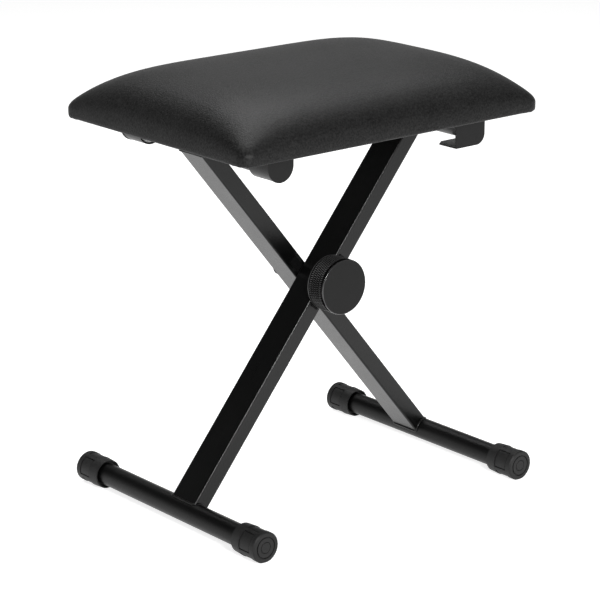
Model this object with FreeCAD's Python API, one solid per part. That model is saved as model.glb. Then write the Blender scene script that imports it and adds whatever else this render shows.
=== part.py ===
import FreeCAD, Part
import math
import os

# Folding bench for a keyboard player: a padded seat on two crossed legs that a hand knob clamps.
# Millimetres.  +X runs along the seat's long side, -Y faces the hand knob, +Z is up.
# The origin lies on the floor, midway between the two feet.
#
# The rear leg rises from the right foot to the pivot tube on the left, which the seat turns on.
# The front leg rises from the left foot to the catch tube on the right, which the seat rests on.

# ---- driving dimensions ----

# seat pad
SEAT_LENGTH = 416.0
SEAT_DEPTH = 316.0
SEAT_UNDERSIDE = 429.0
PAD_HEIGHT = 60.0
PAD_EDGE_HEIGHT = 17.0
PAD_CORNER_RADIUS = 22.0
PAD_SQUARENESS = 3.9
PAD_DOME_ARC = 80.0
PAD_DOME_STEPS = 7
PAD_DOME_ROUNDING = 3.0
BOARD_THICKNESS = 12.0
COVER_THICKNESS = 1.2
COVER_SLACK = 0.3
HEM_WIDTH = 25.0
HEM_CORNER_RADIUS = 11.0
CLOTH_THICKNESS = 0.4
CLOTH_TO_HEM = 0.3

# staples that hold the hem
STAPLE_CROWN = 10.0
STAPLE_WIRE = 0.6
STAPLE_LEG = 6.0
STAPLES_ALONG = 10
STAPLES_ACROSS = 7
STAPLE_INSET = 15.0

# legs
FOOT_SPREAD = 188.5
LEG_WIDTH = 20.0
LEG_DEPTH = 40.0
LEG_WALL = 1.5
LEG_EDGE_RADIUS = 2.0
LEG_INNER_RADIUS = 0.5
LEG_GAP = 2.0
WELD_GAP = 0.05

# feet and cross tubes
TUBE_RADIUS = 12.5
TUBE_WALL = 1.5
FOOT_LENGTH = 321.0
PIVOT_TUBE_LENGTH = 251.0
CATCH_TUBE_LENGTH = 242.0

# foot caps
CAP_WALL = 4.8
CAP_MOUTH_WALL = 4.0
CAP_LIP_GAP = 2.8
CAP_LIP_DEPTH = 5.0
CAP_LENGTH = 38.5
CAP_FLOOR = 4.0
CAP_TAPER_LENGTH = 12.0
CAP_RIM_LENGTH = 7.5
CAP_SHOULDER = 1.5
CAP_EDGE_ROUND = 1.2
CAP_FLAT = 0.9
CAP_PANELS = 4
CAP_PANEL_TURN = 23.0
CAP_PANEL_SPAN = 75.0
CAP_PANEL_DEPTH = 0.6
CAP_LINE_WIDTH = 1.0
CAP_LINE_DEPTH = 1.6
CAP_RING_RADIUS = 12.3
CAP_RING_WIDTH = 1.4
CAP_DISC_RADIUS = 6.5
CAP_DISC_GROOVE = 0.7
CAP_GROOVE_DEPTH = 1.6

# sleeves, bushes and plugs on the cross tubes
SLEEVE_WALL = 2.0
SLEEVE_LENGTH = 72.0
BUSH_LENGTH = 30.0
PLUG_FLANGE = 1.6
PLUG_DEPTH = 14.0
PLUG_WALL = 1.6

# brackets under the seat
SHEET = 1.8
BRACKET_LENGTH = 33.0
BRACKET_FLANGE = 15.0
BRACKET_END_PLAY = 0.5
END_PLATE_MARGIN = 0.5
BRACKET_TO_HEM = 11.8
HOOK_LIP = 11.9
HOOK_LIFT = 4.9
HOOK_CORNER_RADIUS = 12.0
LIP_CHAMFER_X = 8.5
LIP_CHAMFER_Y = 6.0

# bracket screws and their tee nuts
SCREW_RADIUS = 2.5
SCREW_LENGTH = 12.0
SCREW_HEAD_RADIUS = 4.75
SCREW_HEAD_HEIGHT = 3.0
SCREW_HEAD_ROUND = 1.2
SCREW_RECESS_RADIUS = 1.6
SCREW_RECESS_DEPTH = 1.6
SCREW_SPACING = 18.0
TEE_FLANGE_RADIUS = 8.5
TEE_FLANGE_THICKNESS = 1.2
TEE_BARREL_RADIUS = 3.5
TEE_BARREL_LENGTH = 9.0

# pivot bolt and the spacers around it
BOLT_RADIUS = 4.0
BOLT_HEAD_RADIUS = 10.0
BOLT_HEAD_HEIGHT = 4.5
BOLT_HEAD_ROUND = 3.8
BOLT_NECK_LENGTH = 2.5
BOLT_PAST_NUT = 2.5
SPACER_RADIUS = 6.5

# lock plates between the legs and the clamp plate under the knob
LOCK_THICKNESS = 0.85
PLATE_DISC_RADIUS = 9.6
LOCK_TAB_REACH = 26.5
LOCK_GROOVES = 12
LOCK_GROOVE_DEPTH = 0.3
LOCK_GROOVE_WIDTH = 1.0
LOCK_GROOVE_MARGIN = 0.8
CLAMP_THICKNESS = 1.0
CLAMP_TAB_REACH = 33.3
PLATE_WIDTH = 10.0
TAB_LENGTH = 4.5
SLOT_PLAY = 0.2

# hand knob
KNOB_RADIUS = 31.3
KNOB_DEPTH = 26.0
KNOB_WALL = 3.0
KNOB_CAP_THICKNESS = 3.0
KNOB_CAP_ROUND = 0.9
KNOB_CAP_SPIGOT = 2.0
KNOB_BAND_STEP = 0.8
KNOB_HUB_RADIUS = 11.0
KNOB_RIBS = 6
KNOB_RIB_THICKNESS = 2.2
NUT_ACROSS_FLATS = 13.0
NUT_HEIGHT = 6.5
WASHER_RADIUS = 9.0
WASHER_THICKNESS = 1.2

# clearances
RUNNING = 0.05
CLEAR = 0.3

# how far a shape runs into another before they are joined, and past a face that it cuts through
INTO = 0.01
PAST = 1.0

# ---- sizes worked out from them ----

Y = FreeCAD.Vector(0, 1, 0)
Z = FreeCAD.Vector(0, 0, 1)

CAP_RADIUS = TUBE_RADIUS + CAP_WALL
FOOT_AXIS = CAP_RADIUS - CAP_FLAT
SLEEVE_RADIUS = TUBE_RADIUS + SLEEVE_WALL
BOARD_BOTTOM = SEAT_UNDERSIDE + COVER_THICKNESS
BOARD_TOP = BOARD_BOTTOM + BOARD_THICKNESS
BRACKET_TOP = BOARD_BOTTOM - CLOTH_THICKNESS
TOP_AXIS = BRACKET_TOP - CLEAR - SLEEVE_RADIUS
BRACKET_END = SEAT_LENGTH / 2 - HEM_WIDTH - BRACKET_TO_HEM
TOP_SPREAD = BRACKET_END - BRACKET_FLANGE - SHEET - CLEAR - SLEEVE_RADIUS
PIVOT_HEIGHT = FOOT_AXIS + (TOP_AXIS - FOOT_AXIS) * FOOT_SPREAD / (FOOT_SPREAD + TOP_SPREAD)
LEAN = math.degrees(math.atan2(FOOT_SPREAD, PIVOT_HEIGHT - FOOT_AXIS))
LOWER_REACH = math.hypot(FOOT_SPREAD, PIVOT_HEIGHT - FOOT_AXIS)
UPPER_REACH = math.hypot(TOP_SPREAD, TOP_AXIS - PIVOT_HEIGHT)
LEG_FACE = LEG_GAP / 2
LEG_OUTER = LEG_FACE + LEG_DEPTH
TABLE = SEAT_UNDERSIDE + PAD_HEIGHT
PAD_INSET = COVER_THICKNESS + COVER_SLACK
CLAMP_FACE = -(LEG_OUTER + CLAMP_THICKNESS)
WASHER_FACE = CLAMP_FACE - WASHER_THICKNESS
KNOB_BACK = CLAMP_FACE - CLEAR
KNOB_FACE = KNOB_BACK - KNOB_DEPTH
BAND_FRONT = KNOB_FACE + KNOB_CAP_THICKNESS
BAND_RADIUS = KNOB_RADIUS - KNOB_BAND_STEP
HUB_BACK = WASHER_FACE - CLEAR
NUT_SEAT = HUB_BACK - NUT_HEIGHT
NUT_FRONT = NUT_SEAT - NUT_HEIGHT
BOLT_END = NUT_FRONT - BOLT_PAST_NUT


# ---- small shape helpers ----

def block(low, high):
    """A box between two corners."""
    size = [high[i] - low[i] for i in range(3)]
    return Part.makeBox(size[0], size[1], size[2], FreeCAD.Vector(*low))


def rod(radius, y_from, y_to, x=0.0, z=0.0):
    """A round bar along Y."""
    return Part.makeCylinder(radius, y_to - y_from, FreeCAD.Vector(x, y_from, z), Y)


def post(radius, z_from, z_to, x=0.0, y=0.0):
    """A round bar along Z."""
    return Part.makeCylinder(radius, z_to - z_from, FreeCAD.Vector(x, y, z_from), Z)


def pipe(outer, inner, y_from, y_to, x=0.0, z=0.0):
    """A round tube along Y."""
    return rod(outer, y_from, y_to, x, z).cut(rod(inner, y_from, y_to, x, z))


def hexagon(across_flats, y_from, y_to):
    """A six-sided bar along Y, centred on the Y axis."""
    corner = across_flats / math.sqrt(3)
    points = []
    for i in range(7):
        turn = math.radians(60 * i)
        points.append(FreeCAD.Vector(corner * math.cos(turn), y_from, corner * math.sin(turn)))
    return Part.Face(Part.makePolygon(points)).extrude(Y * (y_to - y_from))


def merged(pieces):
    """One solid out of several that touch."""
    return pieces[0].multiFuse(pieces[1:]).removeSplitter() if len(pieces) > 1 else pieces[0]


def mirrored(shape):
    """The same piece on the other side of the XZ plane."""
    return shape.mirror(FreeCAD.Vector(0, 0, 0), Y)


def leaned(shape, side):
    """Swing an upright piece, drawn about the Y axis, into its leg: side +1 front, -1 rear."""
    placed = shape.copy()
    placed.rotate(FreeCAD.Vector(0, 0, 0), Y, side * LEAN)
    placed.translate(FreeCAD.Vector(0, 0, PIVOT_HEIGHT))
    return placed


def rounded_outline(length, depth, radius, z):
    """A closed rectangle with round corners, flat at height z."""
    hx, hy = length / 2, depth / 2
    ix, iy = hx - radius, hy - radius
    c = radius * math.sqrt(0.5)
    corners = [(ix, iy, 1, 1), (-ix, iy, -1, 1), (-ix, -iy, -1, -1), (ix, -iy, 1, -1)]
    edges = []
    previous = FreeCAD.Vector(hx, -iy, z)
    for i, (cx, cy, sx, sy) in enumerate(corners):
        on_side = FreeCAD.Vector(cx + sx * radius, cy, z)
        on_end = FreeCAD.Vector(cx, cy + sy * radius, z)
        start, end = (on_side, on_end) if i % 2 == 0 else (on_end, on_side)
        middle = FreeCAD.Vector(cx + sx * c, cy + sy * c, z)
        edges.append(Part.makeLine(previous, start))
        edges.append(Part.Arc(start, middle, end).toShape())
        previous = end
    return Part.Wire(edges)


def rounded_plate(length, depth, radius, z_from, z_to):
    """A flat plate with round corners."""
    return Part.Face(rounded_outline(length, depth, radius, z_from)).extrude(Z * (z_to - z_from))


parts = {}


# ---- seat pad ----

def pad(inset, z_from):
    """The pad's crowned form, drawn in from its outside by inset: a straight side, then a dome."""
    shoulder = SEAT_UNDERSIDE + PAD_EDGE_HEIGHT
    dome = TABLE - inset - shoulder
    length, depth = SEAT_LENGTH - 2 * inset, SEAT_DEPTH - 2 * inset
    outlines = [rounded_outline(length, depth, PAD_CORNER_RADIUS, z_from)]
    for i in range(PAD_DOME_STEPS + 1):
        turn = math.radians(PAD_DOME_ARC * i / PAD_DOME_STEPS)
        share = math.cos(turn) ** (2 / PAD_SQUARENESS)
        rise = math.sin(turn) / math.sin(math.radians(PAD_DOME_ARC))
        outlines.append(rounded_outline(length * share, depth * share,
                                        PAD_CORNER_RADIUS * (1 + PAD_DOME_ROUNDING * (1 - share)),
                                        shoulder + dome * rise))
    return Part.makeLoft(outlines, True, True)


def staple_places():
    """Centre and direction of each staple in the hem: turned is True along the short sides."""
    half_x = SEAT_LENGTH / 2 - STAPLE_INSET
    half_y = SEAT_DEPTH / 2 - STAPLE_INSET
    places = []
    for i in range(STAPLES_ALONG):
        x = half_x * (2 * (i + 0.5) / STAPLES_ALONG - 1)
        places += [(x, -half_y, False), (x, half_y, False)]
    for i in range(STAPLES_ACROSS):
        y = half_y * (2 * (i + 0.5) / STAPLES_ACROSS - 1)
        places += [(-half_x, y, True), (half_x, y, True)]
    return places


def staple(x, y, turned, play):
    """A wire staple driven up through the hem; play widens its legs to cut their holes."""
    wire = STAPLE_WIRE / 2
    top = SEAT_UNDERSIDE + STAPLE_LEG
    leg_x = STAPLE_CROWN / 2 - wire
    crown = block((-STAPLE_CROWN / 2, -wire, SEAT_UNDERSIDE - STAPLE_WIRE),
                  (STAPLE_CROWN / 2, wire, SEAT_UNDERSIDE))
    legs = [block((s * leg_x - wire - play, -wire - play, SEAT_UNDERSIDE),
                  (s * leg_x + wire + play, wire + play, top + play)) for s in (-1, 1)]
    shape = merged([crown] + legs) if play == 0 else Part.makeCompound(legs)
    if turned:
        shape.rotate(FreeCAD.Vector(0, 0, 0), Z, 90)
    shape.translate(FreeCAD.Vector(x, y, 0))
    return shape


staple_holes = Part.makeCompound([staple(x, y, turned, RUNNING) for x, y, turned in staple_places()])

hem_opening = rounded_plate(SEAT_LENGTH - 2 * HEM_WIDTH, SEAT_DEPTH - 2 * HEM_WIDTH,
                            HEM_CORNER_RADIUS, SEAT_UNDERSIDE - PAST, BOARD_BOTTOM + PAST)
cover = pad(0, SEAT_UNDERSIDE).cut(pad(PAD_INSET, BOARD_BOTTOM)).cut(hem_opening)
parts["seat_cover"] = cover.cut(staple_holes)

foam_room = block((-SEAT_LENGTH, -SEAT_DEPTH, BOARD_TOP), (SEAT_LENGTH, SEAT_DEPTH, TABLE))
parts["seat_foam"] = pad(PAD_INSET + COVER_SLACK, BOARD_TOP).common(foam_room)

parts["cover_staples"] = Part.makeCompound([staple(x, y, turned, 0) for x, y, turned in staple_places()])


# ---- places of the bracket screws, worked out before the board and cloth are drilled ----

PIVOT_BRACKET_OUT = PIVOT_TUBE_LENGTH / 2 + BRACKET_END_PLAY + SHEET
HOOK_BRACKET_OUT = CATCH_TUBE_LENGTH / 2 + BRACKET_END_PLAY + SHEET
TROUGH_INNER = SLEEVE_RADIUS + CLEAR
TROUGH_OUTER = TROUGH_INNER + SHEET
HOOK_WALL_INNER = TOP_SPREAD + SLEEVE_RADIUS + CLEAR
HOOK_WALL_OUTER = HOOK_WALL_INNER + SHEET
HOOK_MOUTH = TOP_SPREAD - SLEEVE_RADIUS - HOOK_LIP
HOOK_BOTTOM = TOP_AXIS - SLEEVE_RADIUS - HOOK_LIFT - SHEET
FLANGE_MIDDLE = BRACKET_FLANGE / 2


def pivot_screw_places():
    """Screws of the front pivot bracket: one in each flange."""
    y = -(PIVOT_BRACKET_OUT - BRACKET_LENGTH / 2)
    return [(-TOP_SPREAD + side * (TROUGH_OUTER + FLANGE_MIDDLE), y) for side in (-1, 1)]


def hook_screw_places():
    """Screws of the front hook bracket: two along its one flange."""
    y = -(HOOK_BRACKET_OUT - BRACKET_LENGTH / 2)
    x = HOOK_WALL_OUTER + FLANGE_MIDDLE
    return [(x, y + side * SCREW_SPACING / 2) for side in (-1, 1)]


FRONT_SCREWS = pivot_screw_places() + hook_screw_places()
SCREWS = FRONT_SCREWS + [(x, -y) for x, y in FRONT_SCREWS]


def screw(x, y):
    """A pan head machine screw with a socket in its head, driven up into its tee nut."""
    seat = BRACKET_TOP - SHEET
    head = post(SCREW_HEAD_RADIUS, seat - SCREW_HEAD_HEIGHT, seat, x, y)
    rim = [e for e in head.Edges if e.BoundBox.ZMax < seat - SCREW_HEAD_HEIGHT / 2 and len(e.Vertexes) == 1]
    head = head.makeFillet(SCREW_HEAD_ROUND, rim)
    socket = post(SCREW_RECESS_RADIUS, seat - SCREW_HEAD_HEIGHT - PAST,
                  seat - SCREW_HEAD_HEIGHT + SCREW_RECESS_DEPTH, x, y)
    return merged([head, post(SCREW_RADIUS, seat - INTO, seat + SCREW_LENGTH, x, y)]).cut(socket)


def tee_nut(x, y):
    """A tee nut let into the board's top so that its flange is flush."""
    flange = post(TEE_FLANGE_RADIUS, BOARD_TOP - TEE_FLANGE_THICKNESS, BOARD_TOP, x, y)
    barrel = post(TEE_BARREL_RADIUS, BOARD_TOP - TEE_BARREL_LENGTH, BOARD_TOP, x, y)
    bore = post(SCREW_RADIUS + RUNNING, BOARD_BOTTOM, BOARD_TOP + PAST, x, y)
    return merged([flange, barrel]).cut(bore)


def tee_nut_hole(x, y):
    """What the board loses for one tee nut and its screw."""
    top = BOARD_TOP + PAST
    return merged([post(TEE_FLANGE_RADIUS + RUNNING, BOARD_TOP - TEE_FLANGE_THICKNESS, top, x, y),
                   post(TEE_BARREL_RADIUS + RUNNING, BOARD_BOTTOM - PAST, top, x, y)])


board = rounded_plate(SEAT_LENGTH - 2 * PAD_INSET - 2 * RUNNING, SEAT_DEPTH - 2 * PAD_INSET - 2 * RUNNING,
                      PAD_CORNER_RADIUS, BOARD_BOTTOM, BOARD_TOP)
for place in SCREWS:
    board = board.cut(tee_nut_hole(*place))
parts["seat_board"] = board.cut(staple_holes)

cloth = rounded_plate(SEAT_LENGTH - 2 * HEM_WIDTH - 2 * CLOTH_TO_HEM,
                      SEAT_DEPTH - 2 * HEM_WIDTH - 2 * CLOTH_TO_HEM,
                      HEM_CORNER_RADIUS, BRACKET_TOP, BOARD_BOTTOM)
for x, y in SCREWS:
    cloth = cloth.cut(post(SCREW_RADIUS + CLEAR, BRACKET_TOP - PAST, BOARD_BOTTOM + PAST, x, y))
parts["seat_dust_cloth"] = cloth

parts["bracket_screws"] = Part.makeCompound([screw(*place) for place in SCREWS])
parts["tee_nuts"] = Part.makeCompound([tee_nut(*place) for place in SCREWS])


# ---- brackets under the seat ----

def drilled(bracket, places):
    """A bracket with its screw holes."""
    for x, y in places:
        bracket = bracket.cut(post(SCREW_RADIUS + CLEAR, BRACKET_TOP - 2 * SHEET, BRACKET_TOP + PAST, x, y))
    return bracket


def trough_form(radius, y_from, y_to):
    """A U that hangs from the board around the pivot tube's axis."""
    low = rod(radius, y_from, y_to, -TOP_SPREAD, TOP_AXIS)
    high = block((-TOP_SPREAD - radius, y_from, TOP_AXIS), (-TOP_SPREAD + radius, y_to, BRACKET_TOP))
    under = block((-TOP_SPREAD - radius, y_from, TOP_AXIS - radius),
                  (-TOP_SPREAD + radius, y_to, BRACKET_TOP))
    return low.fuse(high).common(under)


def pivot_bracket():
    """The front trough: its end plate closes it on the outside, and a flange runs down each side."""
    out = -PIVOT_BRACKET_OUT
    inn = out + BRACKET_LENGTH
    shell = trough_form(TROUGH_OUTER, out + SHEET, inn)
    plate = trough_form(TROUGH_OUTER + END_PLATE_MARGIN, out, out + SHEET)
    reach = TROUGH_OUTER + BRACKET_FLANGE
    flange = block((-TOP_SPREAD - reach, out + SHEET, BRACKET_TOP - SHEET),
                   (-TOP_SPREAD + reach, inn, BRACKET_TOP))
    shape = merged([shell, plate, flange])
    hollow = trough_form(TROUGH_INNER, out + SHEET, inn + PAST)
    room = block((-TOP_SPREAD - TROUGH_INNER, out + SHEET, TOP_AXIS),
                 (-TOP_SPREAD + TROUGH_INNER, inn + PAST, BRACKET_TOP + PAST))
    return drilled(shape.cut(hollow).cut(room), pivot_screw_places())


def hook_form(drawn_in, y_from, y_to):
    """The hook's side view, drawn in from its outside: square at the mouth, round at the back."""
    back = HOOK_WALL_OUTER - drawn_in
    low = HOOK_BOTTOM + drawn_in
    radius = HOOK_CORNER_RADIUS - drawn_in
    centre = FreeCAD.Vector(back - radius, y_from, low + radius)
    c = radius * math.sqrt(0.5)
    p = [FreeCAD.Vector(HOOK_MOUTH, y_from, BRACKET_TOP), FreeCAD.Vector(HOOK_MOUTH, y_from, low),
         FreeCAD.Vector(centre.x, y_from, low), FreeCAD.Vector(back, y_from, centre.z),
         FreeCAD.Vector(back, y_from, BRACKET_TOP)]
    bend = Part.Arc(p[2], FreeCAD.Vector(centre.x + c, y_from, centre.z - c), p[3]).toShape()
    edges = [Part.makeLine(p[0], p[1]), Part.makeLine(p[1], p[2]), bend,
             Part.makeLine(p[3], p[4]), Part.makeLine(p[4], p[0])]
    return Part.Face(Part.Wire(edges)).extrude(Y * (y_to - y_from))


def hook_bracket():
    """The front hook: a lip under the catch tube, a wall behind it and an end plate outside."""
    out = -HOOK_BRACKET_OUT
    inn = out + BRACKET_LENGTH
    shape = hook_form(0, out, inn)
    shape = shape.cut(hook_form(SHEET, out + SHEET, inn + PAST))
    x0, x1 = HOOK_MOUTH - PAST, HOOK_MOUTH + LIP_CHAMFER_X
    y0, y1 = inn - LIP_CHAMFER_Y, inn + PAST
    under = HOOK_BOTTOM - PAST
    outline = [(x0, y1), (x1, y1), (x1, inn), (HOOK_MOUTH, y0), (x0, y0), (x0, y1)]
    corner = Part.makePolygon([FreeCAD.Vector(x, y, under) for x, y in outline])
    shape = shape.cut(Part.Face(corner).extrude(Z * (SHEET + 2 * PAST)))
    flange = block((HOOK_WALL_INNER, out + SHEET, BRACKET_TOP - SHEET),
                   (HOOK_WALL_OUTER + BRACKET_FLANGE, inn, BRACKET_TOP))
    return drilled(merged([shape, flange]), hook_screw_places())


parts["pivot_bracket_front"] = pivot_bracket()
parts["hook_bracket_front"] = hook_bracket()

BUSH_OUT = -(PIVOT_TUBE_LENGTH / 2)
parts["pivot_bush_front"] = pipe(SLEEVE_RADIUS, TUBE_RADIUS + RUNNING, BUSH_OUT, BUSH_OUT + BUSH_LENGTH,
                                 -TOP_SPREAD, TOP_AXIS)
for name in ("pivot_bracket", "hook_bracket", "pivot_bush"):
    parts[name + "_rear"] = mirrored(parts[name + "_front"])


# ---- legs ----

def leg(side):
    """An upright rectangular tube about the pivot, then leaned and coped onto its two round tubes.

    side is +1 for the front leg, whose bolt and plate holes differ from the rear leg's."""
    near = -LEG_OUTER if side > 0 else LEG_FACE
    far = near + LEG_DEPTH
    shape = rounded_plate(LEG_WIDTH, LEG_DEPTH, LEG_EDGE_RADIUS, -LOWER_REACH, UPPER_REACH)
    inside = rounded_plate(LEG_WIDTH - 2 * LEG_WALL, LEG_DEPTH - 2 * LEG_WALL, LEG_INNER_RADIUS,
                           -LOWER_REACH - PAST, UPPER_REACH + PAST)
    shape = shape.cut(inside)
    shape.translate(Y * (near + LEG_DEPTH / 2))
    neck = BOLT_RADIUS + SLOT_PLAY / 2
    if side > 0:
        shape = shape.cut(rod(BOLT_RADIUS + CLEAR, near - PAST, far + PAST))
        shape = shape.cut(slots(near, CLAMP_TAB_REACH, CLAMP_THICKNESS))
        shape = shape.cut(slots(far - LEG_WALL, LOCK_TAB_REACH, LOCK_THICKNESS))
    else:
        shape = shape.cut(rod(BOLT_RADIUS + CLEAR, near - PAST, far - LEG_WALL))
        shape = shape.cut(block((-neck, far - LEG_WALL - PAST, -neck), (neck, far + PAST, neck)))
        shape = shape.cut(slots(near, LOCK_TAB_REACH, LOCK_THICKNESS))
    shape = leaned(shape, side)
    half = FOOT_LENGTH / 2
    for x, z in ((-side * FOOT_SPREAD, FOOT_AXIS), (side * TOP_SPREAD, TOP_AXIS)):
        shape = shape.cut(rod(TUBE_RADIUS + WELD_GAP, -half, half, x, z))
    return max(shape.Solids, key=lambda s: s.Volume)


def slots(y_from, reach, thickness):
    """The two slots that a plate's bent ends sit in."""
    half = PLATE_WIDTH / 2 + SLOT_PLAY
    tall = thickness / 2 + SLOT_PLAY
    y_to = y_from + LEG_WALL + PAST
    pair = []
    for s in (-1, 1):
        centre = s * (reach - thickness / 2)
        pair.append(block((-half, y_from - PAST, centre - tall), (half, y_to, centre + tall)))
    return Part.makeCompound(pair)


def strip_plate(face, outward, reach, thickness):
    """A strip on a leg's face, wide round the bolt, its ends bent into the leg; outward is -1 or +1 in Y."""
    outer = face + outward * thickness
    low, high = min(face, outer), max(face, outer)
    pieces = [block((-PLATE_WIDTH / 2, low, -reach), (PLATE_WIDTH / 2, high, reach)),
              rod(PLATE_DISC_RADIUS, low, high)]
    tab_end = face - outward * TAB_LENGTH
    tab_low, tab_high = min(outer, tab_end), max(outer, tab_end)
    for s in (-1, 1):
        z0, z1 = sorted((s * reach, s * (reach - thickness)))
        pieces.append(block((-PLATE_WIDTH / 2, tab_low, z0), (PLATE_WIDTH / 2, tab_high, z1)))
    return merged(pieces).cut(rod(BOLT_RADIUS + CLEAR, low - PAST, high + PAST))


def lock_plate(side):
    """One of the two clutch plates that meet between the legs, with pressed radial grooves."""
    face = -side * LEG_FACE
    outward = side
    shape = strip_plate(face, outward, LOCK_TAB_REACH, LOCK_THICKNESS)
    outer = face + outward * LOCK_THICKNESS
    bottom = outer - outward * LOCK_GROOVE_DEPTH
    low, high = min(outer + outward, bottom), max(outer + outward, bottom)
    for i in range(LOCK_GROOVES):
        groove = block((-LOCK_GROOVE_WIDTH / 2, low, BOLT_RADIUS + CLEAR + LOCK_GROOVE_MARGIN),
                       (LOCK_GROOVE_WIDTH / 2, high, PLATE_DISC_RADIUS - LOCK_GROOVE_MARGIN))
        groove.rotate(FreeCAD.Vector(0, 0, 0), Y, 360.0 * i / LOCK_GROOVES)
        shape = shape.cut(groove)
    return leaned(shape, side)


parts["front_leg"] = leg(+1)
parts["rear_leg"] = leg(-1)
parts["front_lock_plate"] = lock_plate(+1)
parts["rear_lock_plate"] = lock_plate(-1)
parts["clamp_plate"] = leaned(strip_plate(-LEG_OUTER, -1, CLAMP_TAB_REACH, CLAMP_THICKNESS), +1)


# ---- feet and cross tubes ----

def cap_wedge(span, y_from, y_to):
    """A wedge about the cap's axis, span degrees wide about the way up, that reaches past its wall."""
    reach = 2 * CAP_RADIUS
    half_turn = math.radians(span / 2)
    corners = [(0, 0), (reach * math.sin(half_turn), reach * math.cos(half_turn)),
               (-reach * math.sin(half_turn), reach * math.cos(half_turn)), (0, 0)]
    outline = Part.makePolygon([FreeCAD.Vector(x, y_from, z) for x, z in corners])
    return Part.Face(outline).extrude(Y * (y_to - y_from))


def foot_cap():
    """A moulded end cap about the origin, its closed end at y = 0 and its mouth towards +Y.
    Each shallow panel in its side has a deeper line round its edge."""
    r = CAP_RADIUS
    mouth = CAP_LENGTH
    lip = TUBE_RADIUS + CAP_LIP_GAP
    profile = [(0, 0), (r - CAP_EDGE_ROUND, 0), (r, CAP_EDGE_ROUND), (r, mouth - CAP_TAPER_LENGTH),
               (TUBE_RADIUS + CAP_MOUTH_WALL, mouth), (lip, mouth), (lip, mouth - CAP_LIP_DEPTH),
               (TUBE_RADIUS + RUNNING, mouth - CAP_LIP_DEPTH),
               (TUBE_RADIUS + RUNNING, CAP_FLOOR), (0, CAP_FLOOR), (0, 0)]
    outline = Part.makePolygon([FreeCAD.Vector(x, y, 0) for x, y in profile])
    shape = Part.Face(outline).revolve(FreeCAD.Vector(0, 0, 0), Y, 360)
    for radius, width in ((CAP_RING_RADIUS, CAP_RING_WIDTH), (CAP_DISC_RADIUS, CAP_DISC_GROOVE)):
        shape = shape.cut(pipe(radius, radius - width, -PAST, CAP_GROOVE_DEPTH))
    panel_end = mouth - CAP_TAPER_LENGTH - CAP_SHOULDER
    line_turn = math.degrees(CAP_LINE_WIDTH / r)
    panel = cap_wedge(CAP_PANEL_SPAN, CAP_RIM_LENGTH, panel_end)
    middle = cap_wedge(CAP_PANEL_SPAN - 2 * line_turn, CAP_RIM_LENGTH + CAP_LINE_WIDTH,
                       panel_end - CAP_LINE_WIDTH)
    line = panel.cut(middle).cut(rod(r - CAP_LINE_DEPTH, 0, mouth))
    panel = panel.cut(rod(r - CAP_PANEL_DEPTH, 0, mouth))
    for i in range(CAP_PANELS):
        for cutter in (line, panel):
            turned = cutter.copy()
            turned.rotate(FreeCAD.Vector(0, 0, 0), Y, CAP_PANEL_TURN + 360.0 * i / CAP_PANELS)
            shape = shape.cut(turned)
    flat = block((-r, -PAST, -r - PAST), (r, mouth + PAST, -r + CAP_FLAT))
    return shape.cut(flat)


def cross_plug(end):
    """A plug that closes a cross tube's end: a thin flange inside the tube's mouth and a hollow stem."""
    stem = rod(TUBE_RADIUS - TUBE_WALL - RUNNING, end, end + PLUG_DEPTH)
    hollow = rod(TUBE_RADIUS - TUBE_WALL - RUNNING - PLUG_WALL, end + PLUG_FLANGE, end + PLUG_DEPTH + PAST)
    return stem.cut(hollow)


cap = foot_cap()
tube_half = FOOT_LENGTH / 2 - CAP_FLOOR
for name, side in (("left", -1), ("right", 1)):
    x = side * FOOT_SPREAD
    parts[name + "_foot_tube"] = pipe(TUBE_RADIUS, TUBE_RADIUS - TUBE_WALL, -tube_half, tube_half,
                                      x, FOOT_AXIS)
    front_cap = cap.copy()
    front_cap.translate(FreeCAD.Vector(x, -FOOT_LENGTH / 2, FOOT_AXIS))
    parts[name + "_foot_cap_front"] = front_cap
    parts[name + "_foot_cap_rear"] = mirrored(front_cap)

for name, length, x in (("pivot_tube", PIVOT_TUBE_LENGTH, -TOP_SPREAD),
                        ("catch_tube", CATCH_TUBE_LENGTH, TOP_SPREAD)):
    parts[name] = pipe(TUBE_RADIUS, TUBE_RADIUS - TUBE_WALL, -length / 2, length / 2, x, TOP_AXIS)
    plug = cross_plug(-length / 2)
    plug.translate(FreeCAD.Vector(x, 0, TOP_AXIS))
    parts[name + "_plug_front"] = plug
    parts[name + "_plug_rear"] = mirrored(plug)

SLEEVE_OUT = -CATCH_TUBE_LENGTH / 2
parts["catch_sleeve_front"] = pipe(SLEEVE_RADIUS, TUBE_RADIUS + RUNNING, SLEEVE_OUT,
                                   SLEEVE_OUT + SLEEVE_LENGTH, TOP_SPREAD, TOP_AXIS)
parts["catch_sleeve_rear"] = mirrored(parts["catch_sleeve_front"])


# ---- pivot bolt ----

def pivot_bolt():
    """A cup head bolt: its square neck keys into the rear leg, its far end carries the knob."""
    head = rod(BOLT_HEAD_RADIUS, LEG_OUTER, LEG_OUTER + BOLT_HEAD_HEIGHT)
    rim = [e for e in head.Edges if e.BoundBox.YMin > LEG_OUTER + BOLT_HEAD_HEIGHT / 2
           and len(e.Vertexes) == 1]
    head = head.makeFillet(BOLT_HEAD_ROUND, rim)
    neck = block((-BOLT_RADIUS, LEG_OUTER - BOLT_NECK_LENGTH, -BOLT_RADIUS),
                 (BOLT_RADIUS, LEG_OUTER + INTO, BOLT_RADIUS))
    neck.rotate(FreeCAD.Vector(0, 0, 0), Y, -LEAN)
    shank = rod(BOLT_RADIUS, BOLT_END, LEG_OUTER)
    shape = merged([shank, neck, head])
    shape.translate(FreeCAD.Vector(0, 0, PIVOT_HEIGHT))
    return shape


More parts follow.
